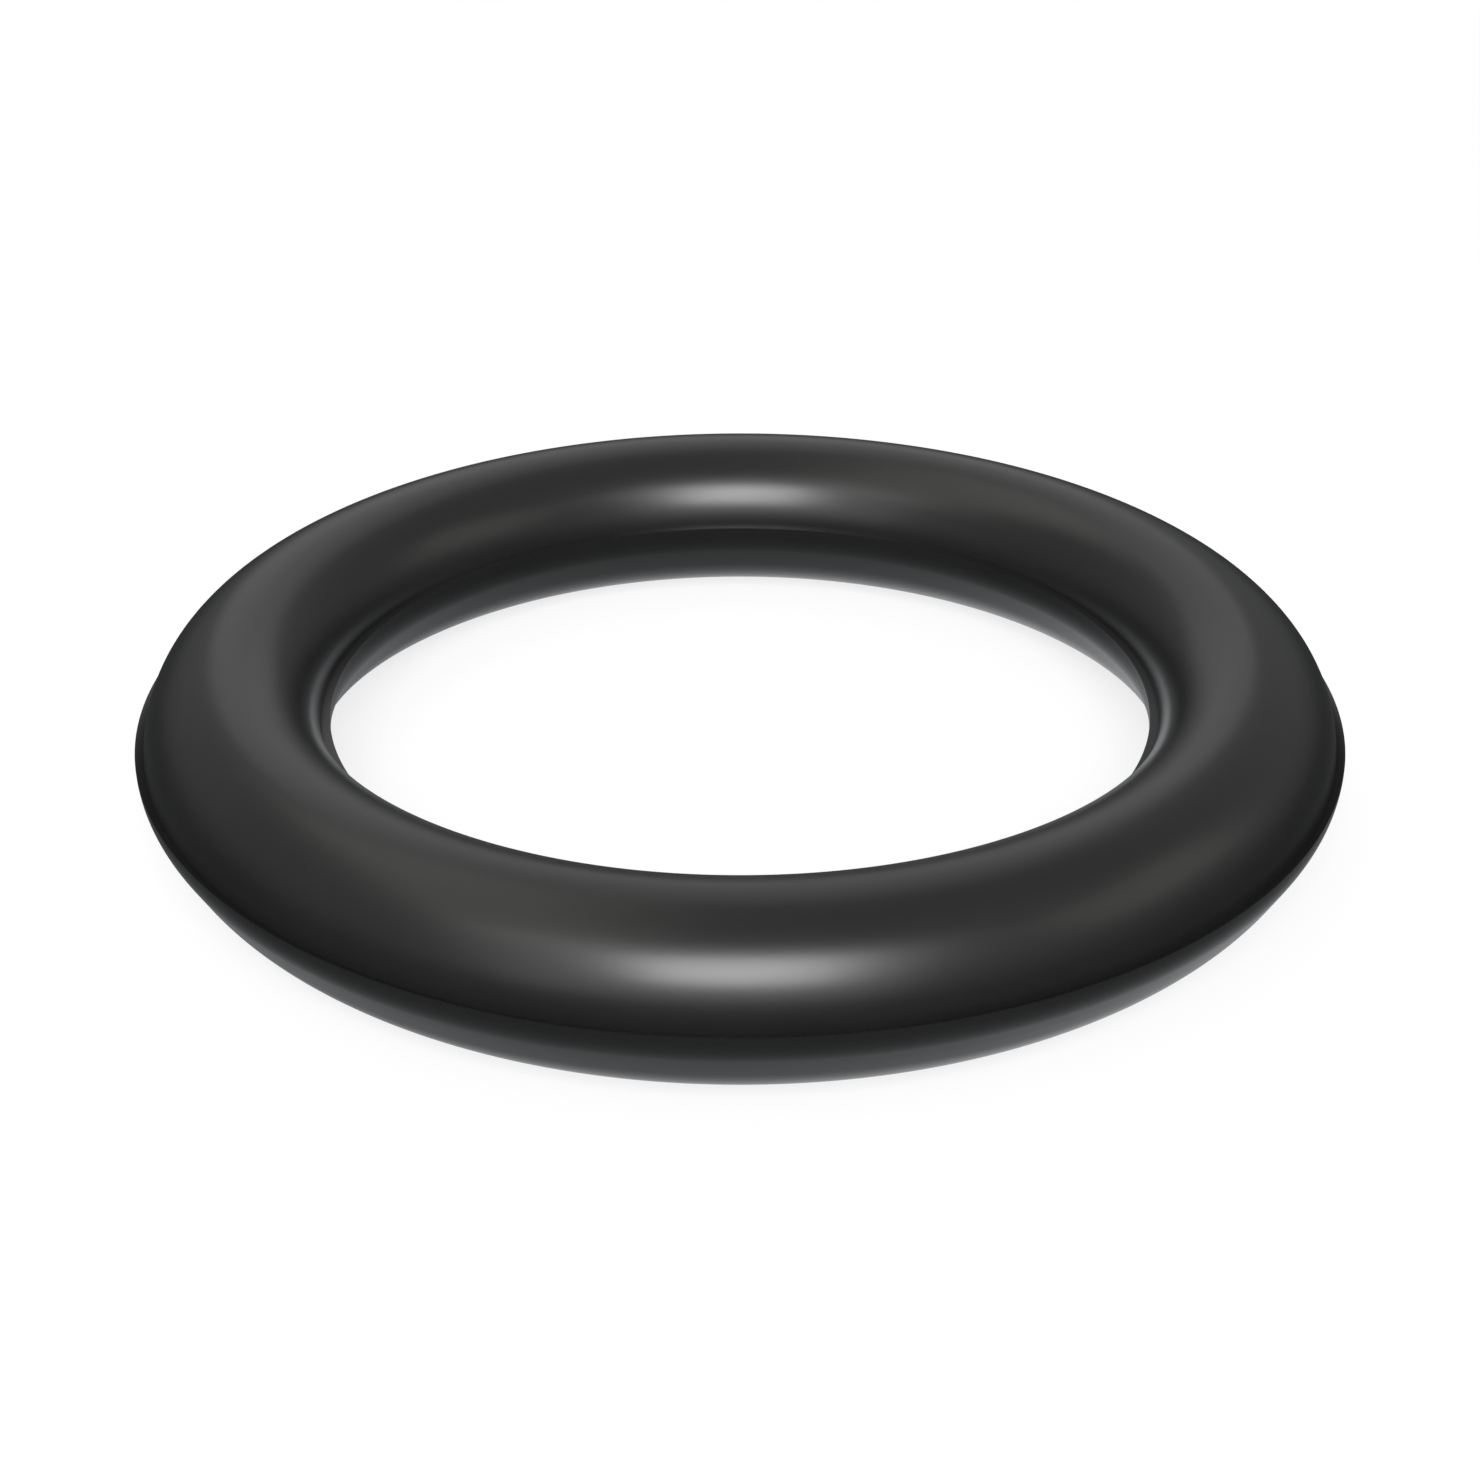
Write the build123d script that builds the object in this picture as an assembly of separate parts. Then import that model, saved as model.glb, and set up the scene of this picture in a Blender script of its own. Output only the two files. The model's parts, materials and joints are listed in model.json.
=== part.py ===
"""Rubber o-ring, moulded in one piece.

The section is round. A low band of flash stands proud on the outside and the inside,
where the two halves of the mould met. The ring's axis is +Z, and the origin is the
centre of the ring on the parting plane. Sizes are in millimetres.
"""

from build123d import *
import os

# Driving dimensions
INSIDE_DIAMETER = 25.8       # across the hole, between the round flanks
SECTION_DIAMETER = 5.3       # thickness of the round section
OUTER_BAND_HEIGHT = 0.245    # how far the outside flash band stands proud
OUTER_BAND_WIDTH = 0.5       # its axial width, centred on the parting plane
INNER_BAND_HEIGHT = 0.245    # how far the inside flash band stands proud
INNER_BAND_WIDTH = 0.62      # its axial width, centred on the parting plane
BAND_EDGE_RADIUS = 0.06      # rounding of the lower edge of both bands

# Sizes that follow from them
SECTION_RADIUS = SECTION_DIAMETER / 2
RING_RADIUS = INSIDE_DIAMETER / 2 + SECTION_RADIUS


def band(side, height, width):
    """Section of one flash band, sharp above and rounded below, rooted in the cord.

    Side is 1 for the outside of the ring and -1 for the inside.
    """
    root = RING_RADIUS + side * SECTION_RADIUS / 2
    face = RING_RADIUS + side * (SECTION_RADIUS + height)
    half = width / 2
    corners = [(root, half), (face, half), (face, -half), (root, -half)]
    outline = make_face(Polyline(*corners, close=True))
    lower_edge = outline.vertices().sort_by_distance((face, -half))[0]
    return fillet(lower_edge, BAND_EDGE_RADIUS)


def ring_section():
    """The whole section beside the axis: the round cord with its two bands."""
    cord = Pos(RING_RADIUS, 0) * Circle(SECTION_RADIUS)
    outer_band = band(1, OUTER_BAND_HEIGHT, OUTER_BAND_WIDTH)
    inner_band = band(-1, INNER_BAND_HEIGHT, INNER_BAND_WIDTH)
    return cord + outer_band + inner_band


def o_ring():
    """The moulded ring: its section turned once about the axis."""
    ring = revolve(Plane.XZ * ring_section(), Axis.Z, 360)
    ring.label = "o_ring"
    return ring


os.makedirs("parts", exist_ok=True)
export_step(o_ring(), "parts/o_ring.step")
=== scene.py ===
"""A moulded black rubber o-ring, lying on a pale studio floor. Sizes are in metres."""

import bpy
import json
import math
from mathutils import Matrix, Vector


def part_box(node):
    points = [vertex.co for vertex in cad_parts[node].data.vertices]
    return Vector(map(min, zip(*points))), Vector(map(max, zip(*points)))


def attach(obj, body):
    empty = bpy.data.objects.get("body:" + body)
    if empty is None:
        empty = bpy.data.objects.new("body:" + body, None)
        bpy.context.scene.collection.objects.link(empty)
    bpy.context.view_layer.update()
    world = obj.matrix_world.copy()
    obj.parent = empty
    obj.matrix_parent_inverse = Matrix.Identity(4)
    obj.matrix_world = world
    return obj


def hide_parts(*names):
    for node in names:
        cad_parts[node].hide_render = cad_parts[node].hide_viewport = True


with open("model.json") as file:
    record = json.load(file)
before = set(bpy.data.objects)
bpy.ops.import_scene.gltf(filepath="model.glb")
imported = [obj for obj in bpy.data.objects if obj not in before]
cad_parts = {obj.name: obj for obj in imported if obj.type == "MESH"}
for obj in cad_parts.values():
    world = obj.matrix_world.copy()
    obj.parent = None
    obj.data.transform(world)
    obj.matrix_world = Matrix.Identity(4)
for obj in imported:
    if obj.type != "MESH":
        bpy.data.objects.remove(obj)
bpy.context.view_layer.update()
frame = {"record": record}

MM = 0.001

# Sizes of the ring, from the frame
lowest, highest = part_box("o_ring")
seats = {mount["name"]: mount["dims"]["r_mm"] * MM for mount in frame["record"]["mounts"]}
SECTION_RADIUS = (highest.z - lowest.z) / 2
RING_RADIUS = (seats["outside_seat"] + seats["inside_seat"]) / 2
BAND_HEIGHT = (seats["outside_seat"] - seats["inside_seat"]) / 2 - SECTION_RADIUS

# Sizes that only the finish needs
OUTER_BAND_WIDTH = 0.5 * MM
INNER_BAND_WIDTH = 0.62 * MM
OUTER_CREASE = 0.13 * MM
INNER_CREASE = 0.02 * MM
LOWER_SHOULDER = 1.0 * MM
LOWER_EDGE_RADIUS = 1.6 * MM
STEPS_ROUND = 480

# Where the camera and the lamps stand: distances in metres, angles in degrees.
# Azimuth 0 is the camera's side of the ring, and it grows to the right.
CAMERA_DISTANCE = 4.6805 * RING_RADIUS
CAMERA_ELEVATION = 27.42
CAMERA_TILT = 28.46
CAMERA_LENS = 56.54


def direction(azimuth, elevation):
    """Unit vector from the ring's centre towards an azimuth and elevation in degrees."""
    a, e = math.radians(azimuth), math.radians(elevation)
    return Vector((math.sin(a) * math.cos(e), -math.cos(a) * math.cos(e), math.sin(e)))


# ---------------------------------------------------------------- node building

class Tree:
    """Adds nodes to a node tree and links what is given to their sockets."""

    def __init__(self, node_tree):
        self.tree = node_tree

    def link(self, source, target):
        """Links an output socket or a node's first output, or sets a plain value."""
        if isinstance(source, bpy.types.Node):
            source = source.outputs[0]
        if isinstance(source, bpy.types.NodeSocket):
            self.tree.links.new(source, target)
        else:
            target.default_value = source

    def add(self, kind, settings=None, **inputs):
        """A node with its settings, and inputs given by name (spaces as underscores) or place."""
        node = self.tree.nodes.new(kind)
        for name, value in (settings or {}).items():
            setattr(node, name, value)
        for name, value in inputs.items():
            key = int(name[1:]) if name[1:].isdigit() else name.replace("_", " ")
            self.link(value, node.inputs[key])
        return node

    def math(self, operation, first, second=0.0):
        return self.add("ShaderNodeMath", {"operation": operation}, _0=first, _1=second)

    def point(self, x, y):
        """A point of the section: x across it, y along the ring's axis."""
        return self.add("ShaderNodeCombineXYZ", X=x, Y=y)


# ---------------------------------------------------------------- the ring's mesh

def ring_tree(material):
    """Geometry nodes that draw the section with its two flash bands and sweep it round."""
    group = bpy.data.node_groups.new("swept_ring", "GeometryNodeTree")
    sizes = {
        "Ring radius": RING_RADIUS,
        "Section radius": SECTION_RADIUS,
        "Band height": BAND_HEIGHT,
        "Outer band width": OUTER_BAND_WIDTH,
        "Inner band width": INNER_BAND_WIDTH,
        "Outer crease": OUTER_CREASE,
        "Inner crease": INNER_CREASE,
        "Lower shoulder": LOWER_SHOULDER,
        "Lower edge radius": LOWER_EDGE_RADIUS,
    }
    for name in sizes:
        group.interface.new_socket(name, in_out="INPUT", socket_type="NodeSocketFloat")
    group.interface.new_socket("Steps round", in_out="INPUT", socket_type="NodeSocketInt")
    group.interface.new_socket("Geometry", in_out="OUTPUT", socket_type="NodeSocketGeometry")
    t = Tree(group)
    given = t.add("NodeGroupInput").outputs
    radius, height = given["Section radius"], given["Band height"]
    face = t.math("ADD", radius, height)

    def foot_angle(rise):
        """Angle of the round flank's point that lies this far from the parting plane."""
        return t.math("ARCSINE", t.math("DIVIDE", rise, radius))

    def foot(side, angle, up):
        """The point of the round flank at a foot angle, above or below the parting plane."""
        across = t.math("MULTIPLY", t.math("COSINE", angle), t.math("MULTIPLY", radius, side))
        return t.point(across, t.math("MULTIPLY", t.math("SINE", angle), t.math("MULTIPLY", radius, up)))

    def band(side, half_width, top_foot, low_foot):
        """Three stretches: from the crease up to the sharp lip, the face, and the lower shoulder."""
        proud = t.math("MULTIPLY", face, side)
        corners = [foot(side, top_foot, 1.0), t.point(proud, half_width),
                   t.point(proud, t.math("MULTIPLY", half_width, -1.0)), foot(side, low_foot, -1.0)]
        return [
            t.add("GeometryNodeCurvePrimitiveLine", Start=a, End=b) for a, b in zip(corners, corners[1:])
        ]

    def flank(start, end):
        """The round flank from one angle of the section to another."""
        return t.add("GeometryNodeCurveArc", {"mode": "RADIUS"}, Resolution=81, Radius=radius,
                     Start_Angle=start, Sweep_Angle=t.math("SUBTRACT", end, start))

    outer_half = t.math("MULTIPLY", given["Outer band width"], 0.5)
    inner_half = t.math("MULTIPLY", given["Inner band width"], 0.5)
    halves = (outer_half, inner_half)
    outer_top = foot_angle(t.math("SUBTRACT", outer_half, given["Outer crease"]))
    inner_top = foot_angle(t.math("SUBTRACT", inner_half, given["Inner crease"]))
    outer_low, inner_low = (foot_angle(t.math("ADD", half, given["Lower shoulder"])) for half in halves)
    upper_flank = flank(outer_top, t.math("SUBTRACT", math.pi, inner_top))
    lower_flank = flank(t.math("ADD", math.pi, inner_low), t.math("SUBTRACT", 2 * math.pi, outer_low))
    outer_band = band(1.0, outer_half, outer_top, outer_low)
    inner_band = band(-1.0, inner_half, inner_top, inner_low)
    pieces = t.add("GeometryNodeJoinGeometry")
    for curve in [upper_flank, lower_flank] + outer_band + inner_band:
        t.link(curve, pieces.inputs[0])
    wire = t.add("GeometryNodeMergeByDistance", Geometry=t.add("GeometryNodeCurveToMesh", Curve=pieces),
                 Distance=1e-7)
    section = t.add("GeometryNodeMeshToCurve", Mesh=wire)

    # Only the lower edge of each band is rounded, and its points stand proud of the round section
    place = t.add("GeometryNodeInputPosition")
    parts = t.add("ShaderNodeSeparateXYZ", _0=place)
    out = t.math("ABSOLUTE", parts.outputs["X"])
    on_edge = t.math("GREATER_THAN", out, t.math("SUBTRACT", face, 1e-7))
    low = t.math("LESS_THAN", parts.outputs["Y"], 0.0)
    wanted = t.math("MULTIPLY", given["Lower edge radius"], t.math("MULTIPLY", on_edge, low))
    rounded = t.add("GeometryNodeFilletCurve", Curve=section, Radius=wanted, Limit_Radius=False)
    fillet_mode = rounded.inputs.get("Mode")
    if fillet_mode is None:
        rounded.mode = "POLY"
    else:
        fillet_mode.default_value = "Poly"
    rounded.inputs["Count"].default_value = 12

    path = t.add("GeometryNodeCurvePrimitiveCircle", Resolution=given["Steps round"], Radius=given["Ring radius"])
    swept = t.add("GeometryNodeCurveToMesh", Curve=path, Profile_Curve=rounded)
    # The sweep lays the section's y downwards, so the ring is turned over
    upright = t.add("GeometryNodeTransform", Geometry=swept, Rotation=(math.pi, 0, 0))
    smooth = t.add("GeometryNodeSetShadeSmooth", Geometry=upright, Shade_Smooth=True)
    fold = t.add("GeometryNodeInputMeshEdgeAngle").outputs["Unsigned Angle"]
    crisp = t.add("GeometryNodeSetShadeSmooth", {"domain": "EDGE"}, Geometry=smooth,
                  Selection=t.math("GREATER_THAN", fold, math.radians(50)), Shade_Smooth=False)
    real = t.add("GeometryNodeRealizeInstances", Geometry=crisp)
    dressed = t.add("GeometryNodeSetMaterial", Geometry=real, Material=material)
    t.add("NodeGroupOutput", Geometry=dressed)
    return group, {**sizes, "Steps round": STEPS_ROUND}


def make_ring(material):
    """The ring as a plain mesh, swept by the geometry nodes."""
    group, values = ring_tree(material)
    seed = bpy.data.objects.new("ring_seed", bpy.data.meshes.new("ring_seed"))
    bpy.context.scene.collection.objects.link(seed)
    modifier = seed.modifiers.new("swept_ring", "NODES")
    modifier.node_group = group
    for item in group.interface.items_tree:
        if item.in_out == "INPUT":
            modifier[item.identifier] = values[item.name]
    graph = bpy.context.evaluated_depsgraph_get()
    mesh = bpy.data.meshes.new_from_object(seed.evaluated_get(graph), depsgraph=graph)
    seed.modifiers.remove(modifier)
    bpy.data.objects.remove(seed)
    mesh.name = "moulded_ring"
    ring = bpy.data.objects.new("moulded_ring", mesh)
    bpy.context.scene.collection.objects.link(ring)
    return ring


# ---------------------------------------------------------------- materials

def new_material(name):
    """An empty node material and its tree."""
    material = bpy.data.materials.new(name)
    material.use_nodes = True
    material.node_tree.nodes.clear()
    return material, Tree(material.node_tree)


def black_rubber():
    """Moulded black rubber: satin skin, fine grain, and faint flow marks along the ring."""
    material, t = new_material("black_rubber")
    place = t.add("ShaderNodeTexCoord").outputs["Object"]
    parts = t.add("ShaderNodeSeparateXYZ", _0=place)
    across = t.math("SUBTRACT", t.math("SQRT", t.math("ADD", t.math("POWER", parts.outputs["X"], 2.0),
                                                       t.math("POWER", parts.outputs["Y"], 2.0))), RING_RADIUS)
    section_angle = t.math("ARCTAN2", parts.outputs["Z"], across)
    turn = t.math("ARCTAN2", parts.outputs["Y"], parts.outputs["X"])
    flow_place = t.add("ShaderNodeCombineXYZ", X=t.math("MULTIPLY", section_angle, 3.0),
                       Y=t.math("MULTIPLY", t.math("SINE", turn), 1.3), Z=t.math("MULTIPLY", t.math("COSINE", turn), 1.3))
    flow = t.add("ShaderNodeTexNoise", Vector=flow_place, Scale=1.6, Detail=3.0, Roughness=0.5)
    grain = t.add("ShaderNodeTexNoise", Vector=place, Scale=9000.0, Detail=2.0, Roughness=0.6)
    clouds = t.add("ShaderNodeTexNoise", Vector=place, Scale=260.0, Detail=4.0, Roughness=0.55)
    roughness = t.add("ShaderNodeMapRange", Value=t.math("ADD", t.math("MULTIPLY", flow, 0.6), t.math("MULTIPLY", clouds, 0.4)),
                      From_Min=0.25, From_Max=0.75, To_Min=0.27, To_Max=0.34)
    colour = t.add("ShaderNodeMix", {"data_type": "RGBA"}, Factor=clouds)
    colour.inputs[6].default_value = (0.0075, 0.0078, 0.0076, 1)
    colour.inputs[7].default_value = (0.0105, 0.0106, 0.0103, 1)
    bump = t.add("ShaderNodeBump", Strength=0.06, Distance=0.02 * MM, Height=grain)
    shader = t.add("ShaderNodeBsdfPrincipled", Base_Color=colour.outputs[2], Roughness=roughness, Normal=bump, IOR=1.5)
    t.add("ShaderNodeOutputMaterial", Surface=shader)
    return material


def pale_floor():
    """Pale floor that looks white, keeps the ring's shadow and bounces light as grey card; in the rubber's gloss it
    shows a painted reflection, a glow that is white close to the ring, dim further out and a little brighter on the
    right.
    """
    material, t = new_material("pale_floor")
    path = t.add("ShaderNodeLightPath").outputs
    parts = t.add("ShaderNodeSeparateXYZ", _0=t.add("ShaderNodeTexCoord").outputs["Object"])
    from_axis = t.math("SQRT", t.math("ADD", t.math("POWER", parts.outputs["X"], 2.0),
                                      t.math("POWER", parts.outputs["Y"], 2.0)))
    # Painted reflection: the glow that glossy rays see is strongest close to the ring, fades with distance from it,
    # and is a little brighter on the right
    from_ring = t.math("ABSOLUTE", t.math("SUBTRACT", from_axis, RING_RADIUS))
    fall = t.math("EXPONENT", t.math("DIVIDE", from_ring, -PAINTED_REFLECTION_REACH))
    to_right = t.math("DIVIDE", parts.outputs["X"], from_axis)
    near = t.math("MULTIPLY", fall, t.math("ADD", t.math("MULTIPLY", to_right, 0.35), 1.0))
    painted_reflection_strength = t.math("MINIMUM", t.math("ADD", t.math("MULTIPLY", near, PAINTED_REFLECTION_NEAR), PAINTED_REFLECTION_FAR), 1.0)
    card = t.add("ShaderNodeBsdfDiffuse", Color=(0.5, 0.5, 0.5, 1))
    paper = t.add("ShaderNodeBsdfDiffuse", Color=(0.95, 0.95, 0.95, 1))
    glow = t.add("ShaderNodeEmission", Color=(1, 1, 1, 1), Strength=1.0)
    # The painted reflection: a cool glow that only glossy rays see
    painted_reflection = t.add("ShaderNodeEmission", Color=(0.94, 0.97, 1.0, 1), Strength=painted_reflection_strength)
    white_share = t.add("ShaderNodeMapRange", Value=from_axis, From_Min=SHADOW_REACH, From_Max=3 * SHADOW_REACH,
                        To_Min=FLOOR_WHITE_SHARE, To_Max=1.0)
    lit = t.add("ShaderNodeMixShader", _0=white_share, _1=paper, _2=glow)
    seen = t.math("MAXIMUM", path["Is Camera Ray"], path["Is Transmission Ray"])
    bright = t.add("ShaderNodeMixShader", _0=seen, _1=card, _2=lit)
    both = t.add("ShaderNodeMixShader", _0=path["Is Glossy Ray"], _1=bright, _2=painted_reflection)
    t.add("ShaderNodeOutputMaterial", Surface=both)
    return material


FLOOR_WHITE_SHARE = 0.8
SHADOW_REACH = 45 * MM
# How bright the painted reflection glows near the ring and far from it, and how fast it fades
PAINTED_REFLECTION_NEAR = 1.9
PAINTED_REFLECTION_FAR = 0.06
PAINTED_REFLECTION_REACH = 1.7 * MM


# ---------------------------------------------------------------- studio

def make_floor():
    """A wide flat floor at the ring's underside."""
    half = 3.0
    mesh = bpy.data.meshes.new("floor")
    corners = [(-half, -half), (half, -half), (half, half), (-half, half)]
    mesh.from_pydata([(x, y, lowest.z) for x, y in corners], [], [(0, 1, 2, 3)])
    mesh.materials.append(pale_floor())
    floor = bpy.data.objects.new("floor", mesh)
    bpy.context.scene.collection.objects.link(floor)


def softbox(name, azimuth, elevation, distance, width, height, radiance, tint=(1.0, 1.0, 1.0)):
    """A rectangular lamp that faces the ring. Radiance 1 is as bright as white paper."""
    lamp = bpy.data.lights.new(name, "AREA")
    lamp.color = tint
    lamp.shape = "RECTANGLE"
    lamp.size, lamp.size_y = width, height
    lamp.energy = radiance * math.pi * width * height
    stand = bpy.data.objects.new(name, lamp)
    towards = direction(azimuth, elevation)
    stand.location = towards * distance
    stand.rotation_euler = towards.to_track_quat("Z", "Y").to_euler()
    bpy.context.scene.collection.objects.link(stand)


WARM = (1.0, 0.955, 0.92)


def make_lamps():
    """A key above the camera with a dim broad one round it, and three fills: left, back and right."""
    softbox("key", 0, 41, 0.5, 0.26, 0.25, 11.4)
    softbox("key_halo", -8, 37, 0.6, 0.85, 0.65, 0.95)
    softbox("overhead_left", -98, 64, 0.6, 0.75, 0.3, 0.9, WARM)
    softbox("back", -175, 33, 0.6, 0.4, 0.5, 0.42)
    softbox("right", 84, 32, 0.6, 0.4, 0.27, 0.72, WARM)


def make_world():
    """Dim walls, a little lighter towards the ceiling, in front of a white backdrop."""
    world = bpy.data.worlds.new("studio")
    bpy.context.scene.world = world
    world.use_nodes = True
    world.node_tree.nodes.clear()
    t = Tree(world.node_tree)
    parts = t.add("ShaderNodeSeparateXYZ", _0=t.add("ShaderNodeTexCoord").outputs["Generated"])
    ramp = t.add("ShaderNodeValToRGB", Fac=parts.outputs["Z"])
    stops = ((0.0, 0.13), (0.17, 0.25), (0.34, 0.33), (0.5, 0.31), (1.0, 0.29))
    elements = ramp.color_ramp.elements
    while len(elements) < len(stops):
        elements.new(0.5)
    for element, (place, grey) in zip(elements, stops):
        element.position = place
        element.color = (grey * 0.97, grey, grey * 0.985, 1)
    walls = t.add("ShaderNodeBackground", Color=ramp.outputs["Color"], Strength=1.0)
    white = t.add("ShaderNodeBackground", Color=(1, 1, 1, 1), Strength=1.0)
    path = t.add("ShaderNodeLightPath").outputs
    seen = t.math("MAXIMUM", path["Is Camera Ray"], path["Is Transmission Ray"])
    t.add("ShaderNodeOutputWorld", Surface=t.add("ShaderNodeMixShader", _0=seen, _1=walls, _2=white))


def make_camera():
    """A camera on the near side, looking down at the ring and aimed a little below its centre."""
    camera = bpy.data.objects.new("camera", bpy.data.cameras.new("camera"))
    bpy.context.scene.collection.objects.link(camera)
    camera.location = direction(0, CAMERA_ELEVATION) * CAMERA_DISTANCE
    camera.rotation_euler = (math.radians(90 - CAMERA_TILT), 0, 0)
    camera.data.lens = CAMERA_LENS
    camera.data.sensor_width = 36
    camera.data.clip_start, camera.data.clip_end = 0.002, 20
    bpy.context.scene.camera = camera


make_camera()
ring = make_ring(black_rubber())
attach(ring, "root")
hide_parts("o_ring")
make_floor()
make_lamps()
make_world()
bpy.context.scene.view_settings.view_transform = "Standard"
